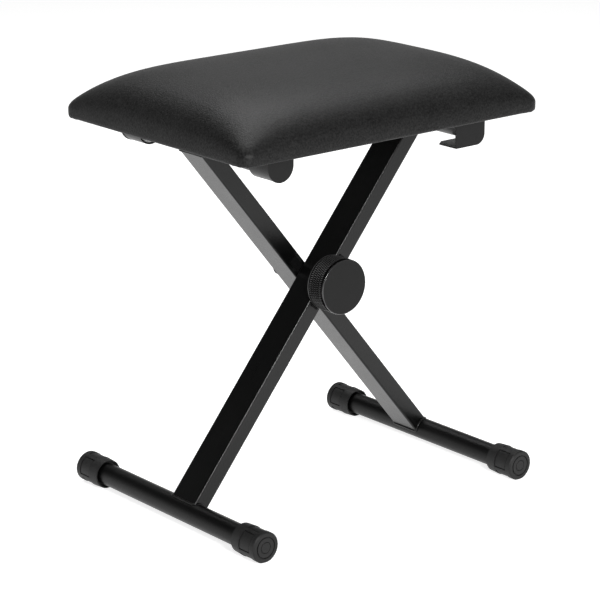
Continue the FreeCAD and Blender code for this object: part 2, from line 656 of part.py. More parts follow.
parts["pivot_bolt"] = pivot_bolt()
parts["rear_leg_spacer"] = pipe(SPACER_RADIUS, BOLT_RADIUS + RUNNING, LEG_FACE + LEG_WALL,
                                LEG_OUTER - BOLT_NECK_LENGTH - SLOT_PLAY, 0, PIVOT_HEIGHT)
parts["front_leg_spacer"] = pipe(SPACER_RADIUS, BOLT_RADIUS + RUNNING, -LEG_OUTER + LEG_WALL,
                                 -LEG_FACE - LEG_WALL, 0, PIVOT_HEIGHT)


# ---- hand knob ----

parts["knob_washer"] = pipe(WASHER_RADIUS, BOLT_RADIUS + CLEAR, WASHER_FACE, CLAMP_FACE, 0, PIVOT_HEIGHT)


def knob_body():
    """The grip band with its web, ribs and hub, open towards the face for the cap."""
    web_front = BAND_FRONT + KNOB_CAP_SPIGOT + CLEAR
    band = pipe(BAND_RADIUS, BAND_RADIUS - KNOB_WALL, BAND_FRONT, KNOB_BACK)
    hub = rod(KNOB_HUB_RADIUS, web_front, HUB_BACK)
    pieces = [band, hub]
    for i in range(KNOB_RIBS):
        rib = block((-KNOB_RIB_THICKNESS / 2, web_front, KNOB_HUB_RADIUS - PAST),
                    (KNOB_RIB_THICKNESS / 2, HUB_BACK, BAND_RADIUS - KNOB_WALL / 2))
        rib.rotate(FreeCAD.Vector(0, 0, 0), Y, 360.0 * i / KNOB_RIBS)
        pieces.append(rib)
    web = rod(BAND_RADIUS - KNOB_WALL / 2, NUT_SEAT - KNOB_WALL, NUT_SEAT)
    shape = merged(pieces + [web])
    shape = shape.cut(rod(BOLT_RADIUS + CLEAR, web_front - PAST, HUB_BACK + PAST))
    shape = shape.cut(hexagon(NUT_ACROSS_FLATS + 2 * RUNNING, web_front - PAST, NUT_SEAT))
    shape.translate(FreeCAD.Vector(0, 0, PIVOT_HEIGHT))
    return shape


def knob_cap():
    """The flat face that closes the knob, with a short spigot inside the band."""
    face = rod(KNOB_RADIUS, KNOB_FACE, BAND_FRONT)
    rim = [e for e in face.Edges if e.BoundBox.YMax < KNOB_FACE + KNOB_CAP_THICKNESS / 2
           and len(e.Vertexes) == 1]
    face = face.makeFillet(KNOB_CAP_ROUND, rim)
    spigot = pipe(BAND_RADIUS - KNOB_WALL - RUNNING, BAND_RADIUS - 2 * KNOB_WALL, BAND_FRONT - INTO,
                  BAND_FRONT + KNOB_CAP_SPIGOT)
    shape = merged([face, spigot])
    shape.translate(FreeCAD.Vector(0, 0, PIVOT_HEIGHT))
    return shape


parts["knob_body"] = knob_body()
parts["knob_cap"] = knob_cap()
nut = hexagon(NUT_ACROSS_FLATS, NUT_FRONT, NUT_SEAT).cut(
    rod(BOLT_RADIUS + RUNNING, NUT_FRONT - PAST, NUT_SEAT + PAST))
nut.translate(FreeCAD.Vector(0, 0, PIVOT_HEIGHT))
parts["knob_nut"] = nut


# ---- export ----

os.makedirs("parts", exist_ok=True)
for name, shape in parts.items():
    shape.exportStep("parts/" + name + ".step")
    state = "valid" if shape.isValid() else "NOT VALID"
    print(name, len(shape.Solids), "solids", round(shape.Volume), "mm3", state)
print("lean", round(LEAN, 3), "top spread", round(TOP_SPREAD, 3), "top axis", round(TOP_AXIS, 3))
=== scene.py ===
import math

import bmesh
import bpy
from mathutils import Matrix, Vector


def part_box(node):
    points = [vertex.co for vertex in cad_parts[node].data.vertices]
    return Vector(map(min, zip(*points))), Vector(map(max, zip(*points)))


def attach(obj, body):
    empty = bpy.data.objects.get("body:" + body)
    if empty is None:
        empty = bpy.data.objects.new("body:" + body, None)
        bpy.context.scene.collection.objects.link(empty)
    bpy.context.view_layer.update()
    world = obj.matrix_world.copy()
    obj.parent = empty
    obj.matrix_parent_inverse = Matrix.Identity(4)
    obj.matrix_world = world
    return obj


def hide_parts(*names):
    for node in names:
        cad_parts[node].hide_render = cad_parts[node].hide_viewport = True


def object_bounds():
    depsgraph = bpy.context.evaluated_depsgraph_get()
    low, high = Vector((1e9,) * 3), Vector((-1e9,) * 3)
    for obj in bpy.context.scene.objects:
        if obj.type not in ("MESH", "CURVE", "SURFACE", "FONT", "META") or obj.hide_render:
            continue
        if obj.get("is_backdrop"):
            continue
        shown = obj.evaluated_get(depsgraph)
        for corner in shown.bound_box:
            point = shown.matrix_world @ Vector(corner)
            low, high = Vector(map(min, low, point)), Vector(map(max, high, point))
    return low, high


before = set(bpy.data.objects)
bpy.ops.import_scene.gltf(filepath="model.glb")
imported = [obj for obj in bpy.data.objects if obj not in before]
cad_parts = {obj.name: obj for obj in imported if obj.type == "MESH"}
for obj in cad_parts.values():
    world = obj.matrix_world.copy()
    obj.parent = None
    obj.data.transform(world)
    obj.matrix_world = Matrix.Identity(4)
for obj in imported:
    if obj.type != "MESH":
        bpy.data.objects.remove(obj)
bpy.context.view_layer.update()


# ---- Frame tubes ----
# Two square-cut rectangular legs cross at the bolt; each is welded to a round foot tube and to a round
# cross tube under the seat. All of it is mild steel with one coat of satin black powder.

MM = 0.001


class Value:
    """One output of a shader node. Sums and products of values add Math nodes."""

    def __init__(self, finish, socket):
        self.finish = finish
        self.socket = socket

    def math(self, operation, *terms):
        """The result of one Math node on values and numbers."""
        return self.finish.node("Math", {"operation": operation}, dict(enumerate(terms)))

    def __add__(self, other):
        return self.math("ADD", self, other)

    def __radd__(self, other):
        return self.math("ADD", other, self)

    def __sub__(self, other):
        return self.math("SUBTRACT", self, other)

    def __rsub__(self, other):
        return self.math("SUBTRACT", other, self)

    def __mul__(self, other):
        return self.math("MULTIPLY", self, other)

    def __rmul__(self, other):
        return self.math("MULTIPLY", other, self)


class Finish:
    """A surface finish: one material, its Principled shader and the nodes that feed it."""

    def __init__(self, name):
        self.material = bpy.data.materials.new(name)
        self.material.use_nodes = True
        self.tree = self.material.node_tree
        self.shader = self.tree.nodes["Principled BSDF"]
        self.place = Value(self, self.tree.nodes.new("ShaderNodeTexCoord").outputs["Object"])

    def feed(self, node, sockets):
        """Fills a node's sockets: a value is linked to its socket, anything else is set on it."""
        for name, value in sockets.items():
            if isinstance(value, Value):
                self.tree.links.new(value.socket, node.inputs[name])
            else:
                node.inputs[name].default_value = value

    def node(self, kind, settings, sockets, output=0):
        """Adds one node: its settings, then what its sockets hold. Gives back one of its outputs."""
        node = self.tree.nodes.new("ShaderNode" + kind)
        for name, value in settings.items():
            setattr(node, name, value)
        self.feed(node, sockets)
        return Value(self, node.outputs[output])

    def surface(self, **sockets):
        """Sets the Principled shader's sockets, named with underscores for spaces."""
        self.feed(self.shader, {name.replace("_", " "): value for name, value in sockets.items()})
        return self

    def noise(self, size, detail=2.0, roughness=0.5):
        """Soft random mottling whose blotches are about size metres across."""
        return self.node("TexNoise", {}, {"Vector": self.place, "Scale": 1 / size,
                                          "Detail": detail, "Roughness": roughness}, "Fac")

    def cells(self, size, feature="F1", output="Distance", **sockets):
        """A pattern of rounded cells about size metres across."""
        return self.node("TexVoronoi", {"feature": feature},
                         {"Vector": self.place, "Scale": 1 / size, **sockets}, output)

    def blend(self, share, first, second):
        """A colour between two others, which the Mix node takes in its sockets 6 and 7."""
        return self.node("Mix", {"data_type": "RGBA"}, {"Factor": share, 6: first, 7: second}, 2)

    def relief(self, height, depth):
        """A bumped normal: height runs from 0 to 1 over depth metres."""
        return self.node("Bump", {}, {"Height": height, "Distance": depth}, "Normal")


def grey(level):
    """A grey colour, from 0, black, to 1, white."""
    return (level, level, level, 1.0)


def wear(finish, *nodes):
    """Gives a finish to CAD nodes, in place of the plain one that they come with."""
    for name in nodes:
        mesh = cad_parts[name].data
        mesh.materials.clear()
        mesh.materials.append(finish.material)


def powder_coat(name, level, roughness, shine):
    """Satin black powder: a faint orange peel, finer specks and slightly uneven gloss."""
    finish = Finish(name)
    peel = finish.noise(1.6 * MM)
    speck = finish.noise(0.4 * MM, detail=1.0)
    cloud = finish.noise(30 * MM)
    return finish.surface(
        Base_Color=finish.blend(speck, grey(0.7 * level), grey(1.4 * level)),
        Specular_IOR_Level=shine,
        Roughness=roughness + 0.06 * cloud + 0.04 * speck,
        Normal=finish.relief(peel + 0.3 * speck, 0.1 * MM))


leg_powder = powder_coat("leg_powder_coat", level=0.0015, roughness=0.24, shine=0.31)
tube_powder = powder_coat("tube_powder_coat", level=0.002, roughness=0.32, shine=0.19)
wear(leg_powder, "rear_leg", "front_leg")
wear(tube_powder, "left_foot_tube", "right_foot_tube", "pivot_tube", "catch_tube")


# ---- Weld beads ----
# A thin rippled fillet runs round each end of each leg, where it is cut to a saddle and welded to a
# round tube. The beads are steel, under the same powder as the legs.

LEG_WIDTH = 20 * MM
LEG_CORNER_RADIUS = 2 * MM
BEAD_RADIUS = 1.3 * MM
BEAD_STANDS_OUT = 0.3
RIPPLE_PITCH = 1.5 * MM
RIPPLE = 0.14


def add_object(name, data):
    """Puts a mesh, curve, light or camera into the scene."""
    made = bpy.data.objects.new(name, data)
    bpy.context.scene.collection.objects.link(made)
    return made


def leg_outline(half_width, half_depth, pitch):
    """Points about pitch apart round the leg's section, each with the way that points outwards there."""
    outline = []
    for turn, run, reach in ((0, half_depth, half_width), (1, half_width, half_depth),
                             (2, half_depth, half_width), (3, half_width, half_depth)):
        side = run - LEG_CORNER_RADIUS
        count = round(2 * side / pitch)
        steps = [(reach, -side + 2 * side * i / count, 0.0) for i in range(count)]
        steps += [(reach - LEG_CORNER_RADIUS, side, math.radians(angle)) for angle in (0, 45)]
        for out, along, angle in steps:
            rounding = LEG_CORNER_RADIUS if along == side else 0.0
            place = Vector((out + rounding * math.cos(angle), along + rounding * math.sin(angle)))
            way = Vector((math.cos(angle), math.sin(angle)))
            quarter = Matrix.Rotation(turn * math.pi / 2, 2)
            outline.append((quarter @ place, quarter @ way))
    return outline


def weld_bead(name, leg, tube, body):
    """Lays a closed bead along the line where a leg's section meets a round tube."""
    leg_low, leg_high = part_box(leg)
    tube_low, tube_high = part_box(tube)
    foot = (tube_low + tube_high) / 2
    radius = (tube_high.z - tube_low.z) / 2
    bolt_low, bolt_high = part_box("pivot_bolt")
    pivot = (bolt_low + bolt_high) / 2
    up_leg = Vector((pivot.x - foot.x, 0, pivot.z - foot.z)).normalized()
    across = Vector((up_leg.z, 0, -up_leg.x))
    middle = (leg_low.y + leg_high.y) / 2
    line = bpy.data.curves.new(name, "CURVE")
    line.dimensions = "3D"
    line.bevel_depth = BEAD_RADIUS
    line.bevel_resolution = 2
    line.resolution_u = 2
    outline = leg_outline(LEG_WIDTH / 2, (leg_high.y - leg_low.y) / 2, RIPPLE_PITCH / 2)
    spline = line.splines.new("NURBS")
    spline.points.add(len(outline) - 1)
    spline.use_cyclic_u = True
    spline.order_u = 3
    for i, (point, (place, way)) in enumerate(zip(spline.points, outline)):
        out = min(abs(place.x), radius) * math.copysign(1, place.x)
        climb = math.sqrt(radius ** 2 - out ** 2) + BEAD_STANDS_OUT * BEAD_RADIUS
        outwards = BEAD_STANDS_OUT * BEAD_RADIUS * way
        at = foot + across * (out + outwards.x) + up_leg * climb
        at.y = middle + place.y + outwards.y
        point.co = (*at, 1.0)
        point.radius = 1 - RIPPLE * (i % 2)
    curve = add_object(name, line)
    mesh = bpy.data.meshes.new_from_object(curve)
    bpy.data.objects.remove(curve)
    bead = add_object(name, mesh)
    mesh.shade_smooth()
    mesh.materials.clear()
    mesh.materials.append(leg_powder.material)
    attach(bead, body)


weld_bead("front_leg_foot_weld", "front_leg", "left_foot_tube", "front_frame")
weld_bead("front_leg_top_weld", "front_leg", "catch_tube", "front_frame")
weld_bead("rear_leg_foot_weld", "rear_leg", "right_foot_tube", "rear_frame")
weld_bead("rear_leg_top_weld", "rear_leg", "pivot_tube", "rear_frame")


# ---- Foot caps ----
# Four moulded rubber caps, pushed over the ends of the foot tubes. Each has a taper at its mouth,
# shallow panels in its side, a ring and a disc in its end, and a narrow flat to stand on.

def moulded(name, level, roughness, grain, depth, shine=0.3):
    """Matte moulded rubber or plastic, with a fine spark-eroded grain and light scuffs."""
    finish = Finish(name)
    pebble = finish.cells(grain)
    scuff = finish.noise(12 * MM, detail=4.0, roughness=0.6)
    return finish.surface(
        Base_Color=finish.blend(scuff, grey(0.7 * level), grey(1.3 * level)),
        Specular_IOR_Level=shine,
        Roughness=roughness + 0.1 * scuff,
        Normal=finish.relief(pebble, depth))


rubber = moulded("foot_cap_rubber", level=0.016, roughness=0.44, grain=0.9 * MM, depth=0.06 * MM,
                 shine=0.16)
wear(rubber, *[f"{side}_foot_cap_{end}" for side in ("left", "right") for end in ("front", "rear")])


# ---- Cross tube fittings ----
# Black polyethylene plugs close the tube ends. Natural nylon bushes turn in the pivot brackets, and
# smooth black vinyl sleeves, pulled over the other tube, lie in the hooks.

plug_plastic = moulded("plug_plastic", level=0.012, roughness=0.45, grain=0.8 * MM, depth=0.03 * MM)
wear(plug_plastic, "pivot_tube_plug_front", "pivot_tube_plug_rear", "catch_tube_plug_front",
     "catch_tube_plug_rear")
nylon = moulded("bush_nylon", level=0.5, roughness=0.4, grain=1.2 * MM, depth=0.02 * MM)
wear(nylon, "pivot_bush_front", "pivot_bush_rear")
vinyl = moulded("sleeve_vinyl", level=0.02, roughness=0.35, grain=2 * MM, depth=0.02 * MM)
wear(vinyl, "catch_sleeve_front", "catch_sleeve_rear")


# ---- Bolt, lock plates and clamp ----
# Two grooved steel plates lock against each other between the legs, and a bent strip lies under the
# knob. They and the cup head bolt are blackened; the spacers and small fasteners are zinc plated.

oxide = powder_coat("black_oxide", level=0.002, roughness=0.55, shine=0.12)
wear(oxide, "front_lock_plate", "rear_lock_plate", "clamp_plate", "pivot_bolt")

zinc = Finish("zinc_plate")
spangle = zinc.cells(3 * MM, output="Color")
dulled = zinc.noise(1.2 * MM, detail=3.0)
zinc.surface(
    Base_Color=zinc.blend(dulled, (0.496, 0.496, 0.48, 1.0), (0.62, 0.62, 0.6, 1.0)),
    Metallic=1.0,
    Roughness=0.28 + 0.12 * spangle,
    Normal=zinc.relief(dulled, 0.02 * MM))
wear(zinc, "front_leg_spacer", "rear_leg_spacer", "knob_washer", "knob_nut",
     "bracket_screws", "tee_nuts", "cover_staples")


# ---- Hand knob ----
# A moulded plastic knob: its side is knurled in long narrow diamonds up to a plain back edge. The
# diamonds' valleys are painted near black as shade, and their tips are painted lighter as light and have
# a clear coat. The face is a matte disc with a thin glossy rim, pressed in from the front, and a groove
# stays open behind the rim.

KNOB_GRAIN = 0.7 * MM

knob_grip = moulded("knob_grip", level=0.002, roughness=0.2, grain=KNOB_GRAIN, depth=0.01 * MM,
                    shine=0.4)
knob_face = moulded("knob_face", level=0.004, roughness=0.36, grain=KNOB_GRAIN, depth=0.03 * MM,
                    shine=0.18)
knob_rim = moulded("knob_rim", level=0.004, roughness=0.18, grain=KNOB_GRAIN, depth=0.005 * MM,
                   shine=0.8)
knob_rim.surface(Coat_Weight=0.3, Coat_Roughness=0.2)
wear(knob_grip, "knob_body")

MERGE_WITHIN = 0.01 * MM
KNURL_DIAMONDS = 88
KNURL_ROWS = 6
KNURL_DEPTH = 1.0 * MM
# The knurl's painted light rises from painted shade in the valleys to full between these heights above
# the valleys.
PAINTED_LIGHT_FROM, PAINTED_LIGHT_FULL = 0.22 * KNURL_DEPTH, 0.45 * KNURL_DEPTH
GRIP_TO_SLEEVE = 0.05 * MM
BAND_BELOW_RIM = 0.05 * MM
BAND_CHAMFER = 0.1 * MM
BACK_EDGE = 1.2 * MM
BACK_EDGE_ROUNDING = 0.3 * MM
SEAM = 0.3 * MM
FRONT_STRIP = 0.4 * MM
RIM_THICKNESS = 1.6 * MM
RIM_ROUNDING = 0.8 * MM
GROOVE_DEPTH = 1.5 * MM
SPIGOT_LENGTH = 2.0 * MM
SPIGOT_RADIUS = 27.4 * MM
SPIGOT_BORE = 24.5 * MM
DISC_STEPS = 128
FLAT_BEYOND = 0.99
grip_low, grip_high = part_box("knob_body")
cap_low, cap_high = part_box("knob_cap")
knob_axis = (cap_low + cap_high) / 2
valley_radius = (grip_high.z - grip_low.z) / 2 + GRIP_TO_SLEEVE
edge_radius = (cap_high.z - cap_low.z) / 2
knurl_back = grip_high.y - BACK_EDGE
knurl_front = grip_low.y + FRONT_STRIP


def new_object(name, shape):
    """Turns a bmesh into an object of the scene, and frees the bmesh."""
    mesh = bpy.data.meshes.new(name)
    shape.to_mesh(mesh)
    shape.free()
    return add_object(name, mesh)


# The knurl is a grid that is rolled into a sleeve. Every other point is raised, as on a chessboard, and
# each square is split along its low diagonal, which leaves the diamonds.
sleeve = bmesh.new()
bmesh.ops.create_grid(sleeve, x_segments=2 * KNURL_DIAMONDS, y_segments=KNURL_ROWS, size=1.0)
for v in sleeve.verts:
    column = round((v.co.x + 1) * KNURL_DIAMONDS)
    row = round((v.co.y + 1) * KNURL_ROWS / 2)
    raised = (column + row) % 2 == 0 and 0 < row < KNURL_ROWS
    radius = valley_radius + (KNURL_DEPTH if raised else 0.0)
    angle = math.pi * column / KNURL_DIAMONDS
    along = knurl_front + (knurl_back - knurl_front) * row / KNURL_ROWS
    v.co = (knob_axis.x + radius * math.cos(angle), along, knob_axis.z + radius * math.sin(angle))
bmesh.ops.remove_doubles(sleeve, verts=sleeve.verts, dist=MERGE_WITHIN)
halfway = valley_radius + KNURL_DEPTH / 2
for face in sleeve.faces[:]:
    low = [v for v in face.verts if (v.co - knob_axis).xz.length < halfway]
    if len(low) == 2:
        bmesh.utils.face_split(face, *low)
rims = {True: [], False: []}
for edge in sleeve.edges:
    if edge.is_boundary:
        rims[edge.verts[0].co.y > (knurl_back + knurl_front) / 2].append(edge)


def step_out(rim, radius, along):
    """Carries one rim of the sleeve on to a new radius and place along the knob. Gives the new rim."""
    grown = bmesh.ops.extrude_edge_only(sleeve, edges=rim)["geom"]
    for v in grown:
        if isinstance(v, bmesh.types.BMVert):
            spoke = (v.co - knob_axis).xz.normalized() * radius
            v.co = (knob_axis.x + spoke.x, along, knob_axis.z + spoke.y)
    return [e for e in grown if isinstance(e, bmesh.types.BMEdge)]


# The plain band goes on from the knurl's back rim. The sleeve closes along its own bore, which lies
# inside the grip band.
band_radius = edge_radius - BAND_BELOW_RIM
back_rim = step_out(rims[True], band_radius - BAND_CHAMFER, knurl_back + BAND_CHAMFER)
back_rim = step_out(back_rim, band_radius, knurl_back + BACK_EDGE_ROUNDING)
back_rim = step_out(back_rim, band_radius, grip_high.y - BACK_EDGE_ROUNDING)
back_rim = step_out(back_rim, band_radius - BACK_EDGE_ROUNDING, grip_high.y)
back_rim = step_out(back_rim, valley_radius - SEAM, grip_high.y)
front_rim = step_out(rims[False], valley_radius - SEAM, knurl_front)
bmesh.ops.bridge_loops(sleeve, edges=back_rim + front_rim)
bmesh.ops.recalc_face_normals(sleeve, faces=sleeve.faces)
knurl = new_object("knob_knurl", sleeve)

knob_diamonds = Finish("knob_diamonds")
spoke = knob_diamonds.node("Mapping", {}, {
    "Vector": knob_diamonds.place,
    "Scale": (1.0, 0.0, 1.0),
    "Location": (-knob_axis.x, 0.0, -knob_axis.z)})
from_axis = knob_diamonds.node("VectorMath", {"operation": "LENGTH"}, {0: spoke}, "Value")
# Painted light and shade: the tips are painted lighter and the valleys near black, by distance from the
# knob's axis. The same share also gives the tips a clear coat and lowers their roughness.
painted_tip_light = knob_diamonds.node("MapRange", {}, {
    "Value": from_axis,
    "From Min": valley_radius + PAINTED_LIGHT_FROM,
    "From Max": valley_radius + PAINTED_LIGHT_FULL})
knob_diamonds.surface(
    Base_Color=knob_diamonds.blend(painted_tip_light, grey(0.0003), grey(0.034)),
    Specular_IOR_Level=0.0,
    Roughness=0.6 - 0.2 * painted_tip_light,
    Coat_Weight=painted_tip_light,
    Coat_Roughness=0.28)
knurl.data.materials.append(knob_diamonds.material)
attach(knurl, "knob")

groove_radius = edge_radius - GROOVE_DEPTH
rim_back = cap_low.y + RIM_THICKNESS
spigot_back = grip_low.y + SPIGOT_LENGTH
outline = [(0.0, cap_low.y), (edge_radius, cap_low.y), (edge_radius, rim_back),
           (groove_radius, rim_back), (groove_radius, grip_low.y), (SPIGOT_RADIUS, grip_low.y),
           (SPIGOT_RADIUS, spigot_back), (SPIGOT_BORE, spigot_back), (SPIGOT_BORE, grip_low.y),
           (0.0, grip_low.y)]
disc = bmesh.new()
points = [disc.verts.new((knob_axis.x + radius, along, knob_axis.z)) for radius, along in outline]
for pair in zip(points, points[1:]):
    disc.edges.new(pair)
bmesh.ops.bevel(disc, geom=points[1:3], offset=RIM_ROUNDING, segments=3, profile=0.5, affect="VERTICES",
                material=-1)
bmesh.ops.spin(disc, geom=disc.verts[:] + disc.edges[:], cent=knob_axis, axis=(0, 1, 0),
               angle=2 * math.pi, steps=DISC_STEPS, use_merge=True)
bmesh.ops.remove_doubles(disc, verts=disc.verts, dist=MERGE_WITHIN)
bmesh.ops.recalc_face_normals(disc, faces=disc.faces)
face_disc = new_object("knob_face", disc)
face_disc.data.materials.append(knob_face.material)
face_disc.data.materials.append(knob_rim.material)
for polygon in face_disc.data.polygons:
    lies_flat = abs(polygon.normal.y) > FLAT_BEYOND
    polygon.use_smooth = not lies_flat
    polygon.material_index = 0 if lies_flat else 1
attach(face_disc, "knob")
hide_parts("knob_cap")


# ---- Brackets under the seat ----
# Two closed troughs carry the pivot tube and two open hooks catch the other one. Each is pressed from
# sheet steel, powder coated, and screwed through its flanges to the seat board.

bracket_powder = powder_coat("bracket_powder_coat", level=0.002, roughness=0.28, shine=0.23)
wear(bracket_powder, "pivot_bracket_front", "pivot_bracket_rear", "hook_bracket_front",
     "hook_bracket_rear")


# ---- Seat board and its underside ----
# A sheet of raw plywood carries the pad and the brackets. A black non-woven cloth covers its bare
# underside, up to the hem of the pad's cover.

GRAIN_PER_METRE = (12.0, 240.0, 700.0)

plywood = Finish("plywood")
fibres = plywood.node("Mapping", {}, {"Vector": plywood.place, "Scale": GRAIN_PER_METRE})
grain = plywood.node("TexNoise", {}, {"Vector": fibres, "Scale": 1.0, "Detail": 6.0}, "Fac")
plywood.surface(
    Base_Color=plywood.blend(grain, (0.42, 0.28, 0.16, 1.0), (0.62, 0.46, 0.3, 1.0)),
    Roughness=0.62 + 0.1 * grain,
    Normal=plywood.relief(grain, 0.2 * MM))
wear(plywood, "seat_board")

dust_cloth = Finish("dust_cloth")
fibre = dust_cloth.noise(0.9 * MM, detail=5.0, roughness=0.7)
dust_cloth.surface(
    Base_Color=dust_cloth.blend(fibre, grey(0.006), grey(0.03)),
    Roughness=0.85 + 0.1 * fibre,
    Normal=dust_cloth.relief(fibre, 0.2 * MM))
wear(dust_cloth, "seat_dust_cloth")


# ---- Seat pad ----
# A thick foam block under black leatherette: crowned top, upright sides, round corners. The cover is
# pulled taut over the board's edge and stapled underneath, with its fullness gathered at the corners.

PAD_HALF_LENGTH = 210 * MM
PAD_HALF_WIDTH = 158 * MM
PAD_OFFSET = -1.8 * MM
SIDE_HEIGHT = 10.5 * MM
CROWN_HEIGHT = 50.5 * MM
SQUARENESS_ALONG = 5.8
SQUARENESS_ACROSS = 3.3
CROWN_FALL = 1.9
CORNER_RADIUS = 15 * MM
EDGE_RADIUS = 3.2 * MM
LEVEL_WITHIN = 0.1 * MM
CLOTH_PRESSURE = 4.0
CLOTH_STEPS = 20
SWELL = 4 * MM
SLACKNESS = 0.12
HEM_WIDTH = 26 * MM
HEM_CORNER_RADIUS = 11 * MM
HEM_TO_CLOTH = 0.3 * MM
COVER_THICKNESS = 1.2 * MM
COLUMNS, ROWS = 36, 28
EVENNESS = 0.15
SIDE_CUTS = [0.4 * MM, 1.2 * MM, EDGE_RADIUS, 6 * MM, 9 * MM]
PLEATS, PLEAT_DEPTH = 5, 0.7 * MM
SMOOTHING_ROUNDS = 8
pad_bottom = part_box("seat_cover")[0].z
board_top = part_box("seat_board")[1].z
cloth_low, cloth_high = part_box("seat_dust_cloth")
hem_middle = (cloth_low + cloth_high) / 2 - Vector((PAD_OFFSET, 0, 0))
hem_reach = (cloth_high - cloth_low) / 2 + Vector((HEM_TO_CLOTH, HEM_TO_CLOTH, 0))


def stations(half, count, middle, reach):
    """Cut lines across the pad, closer together towards its edges, and one at each hem's inner edge."""
    lines = [half * (EVENNESS * i / count + (1 - EVENNESS) * math.sin(math.pi / 2 * i / count))
             for i in range(1 - count, count)]
    drawn_in = 1 - EDGE_RADIUS / half
    return lines + [(middle - reach) / drawn_in, (middle + reach) / drawn_in]


def crown(x, y):
    """How far the pad's top stands above its sides at x, y: 1 in the middle, 0 at the edge."""
    u, v = min(abs(x) / PAD_HALF_LENGTH, 1.0), min(abs(y) / PAD_HALF_WIDTH, 1.0)
    return ((1 - u ** SQUARENESS_ALONG) * (1 - v ** SQUARENESS_ACROSS)) ** (1 / CROWN_FALL)


def rounded_plan(x, y, tuck):
    """Moves a point of the square-cornered plan to the round-cornered one, drawn in by tuck."""
    straight_x, straight_y = PAD_HALF_LENGTH - CORNER_RADIUS, PAD_HALF_WIDTH - CORNER_RADIUS
    out_x = max(abs(x) - straight_x, 0) / CORNER_RADIUS
    out_y = max(abs(y) - straight_y, 0) / CORNER_RADIUS
    if out_x and out_y:
        x = math.copysign(straight_x + CORNER_RADIUS * out_x * math.sqrt(1 - out_y ** 2 / 2), x)
        y = math.copysign(straight_y + CORNER_RADIUS * out_y * math.sqrt(1 - out_x ** 2 / 2), y)
    return x * (1 - tuck / PAD_HALF_LENGTH), y * (1 - tuck / PAD_HALF_WIDTH)


def pad_block():
    """The pad's closed form as a grid of squares: flat under, upright at the side, crowned on top."""
    shape = bmesh.new()
    bmesh.ops.create_cube(shape, size=2.0)
    bmesh.ops.scale(shape, vec=(PAD_HALF_LENGTH, PAD_HALF_WIDTH, SIDE_HEIGHT / 2), verts=shape.verts)
    bmesh.ops.translate(shape, vec=(0, 0, SIDE_HEIGHT / 2), verts=shape.verts)
    along = stations(PAD_HALF_LENGTH, COLUMNS, hem_middle.x, hem_reach.x)
    across = stations(PAD_HALF_WIDTH, ROWS, hem_middle.y, hem_reach.y)
    cuts = [(Vector((1, 0, 0)), at) for at in along]
    cuts += [(Vector((0, 1, 0)), at) for at in across]
    cuts += [(Vector((0, 0, 1)), at) for at in SIDE_CUTS]
    for axis, at in cuts:
        bmesh.ops.bisect_plane(shape, geom=shape.verts[:] + shape.edges[:] + shape.faces[:],
                               plane_co=axis * at, plane_no=axis)
    for v in shape.verts:
        x, y, rise = v.co
        below = max(EDGE_RADIUS - rise, 0)
        tuck = EDGE_RADIUS - math.sqrt(EDGE_RADIUS ** 2 - below ** 2)
        if rise > SIDE_HEIGHT - LEVEL_WITHIN:
            rise += CROWN_HEIGHT * crown(x, y)
        x, y = rounded_plan(x, y, tuck)
        v.co = (x + PAD_OFFSET, y, pad_bottom + rise)
    return shape


def smoothed(shifts, mesh, rounds):
    """Evens out a list of moves, one a vertex, by averaging each with its neighbours'."""
    for _ in range(rounds):
        total = [shift.copy() for shift in shifts]
        count = [1] * len(shifts)
        for edge in mesh.edges:
            a, b = edge.vertices
            total[a] += shifts[b]
            total[b] += shifts[a]
            count[a] += 1
            count[b] += 1
        shifts = [t / n for t, n in zip(total, count)]
    return shifts


def filled_out(pad):
    """Shrinks the crown, swells it as cloth under pressure, and keeps some of the uneven swelling."""
    mesh = pad.data
    crown_foot = board_top + SWELL
    drafted = [v.co.copy() for v in mesh.vertices]
    outward = [v.normal.copy() for v in mesh.vertices]
    free = [min(max((co.z - board_top) / (crown_foot - board_top), 0), 1) for co in drafted]
    held = pad.vertex_groups.new(name="stapled")
    held.add([i for i, share in enumerate(free) if share == 0], 1.0, "REPLACE")
    for v, normal, share in zip(mesh.vertices, outward, free):
        v.co -= normal * SWELL * share
    rest = [v.co.copy() for v in mesh.vertices]
    cloth = pad.modifiers.new("filling", "CLOTH").settings
    cloth.use_pressure = True
    cloth.uniform_pressure_force = CLOTH_PRESSURE
    cloth.vertex_group_mass = "stapled"
    cloth.effector_weights.gravity = 0.0
    for step in range(1, CLOTH_STEPS + 1):
        bpy.context.scene.frame_set(step)
    graph = bpy.context.evaluated_depsgraph_get()
    swollen = [v.co.copy() for v in pad.evaluated_get(graph).data.vertices]
    pad.modifiers.clear()
    pad.vertex_groups.clear()
    gains = [min((end - start).dot(normal), SWELL) * share
             for start, end, normal, share in zip(rest, swollen, outward, free)]
    even = sum(gains) / sum(free)
    uneven = [normal * (gain - even) * share * SLACKNESS
              for normal, gain, share in zip(outward, gains, free)]
    shifts = smoothed(uneven, mesh, SMOOTHING_ROUNDS)
    for v, start, shift, share in zip(mesh.vertices, drafted, shifts, free):
        v.co = start + shift * share
    bpy.context.scene.frame_set(1)


def past_cloth(place):
    """How far a place under the pad lies past the dust cloth's edge, along X and along Y."""
    return (abs(place.x - PAD_OFFSET - hem_middle.x) - hem_reach.x,
            abs(place.y - hem_middle.y) - hem_reach.y)


cushion = new_object("cushion_cover", pad_block())
filled_out(cushion)
pad_form = cushion.data.copy()

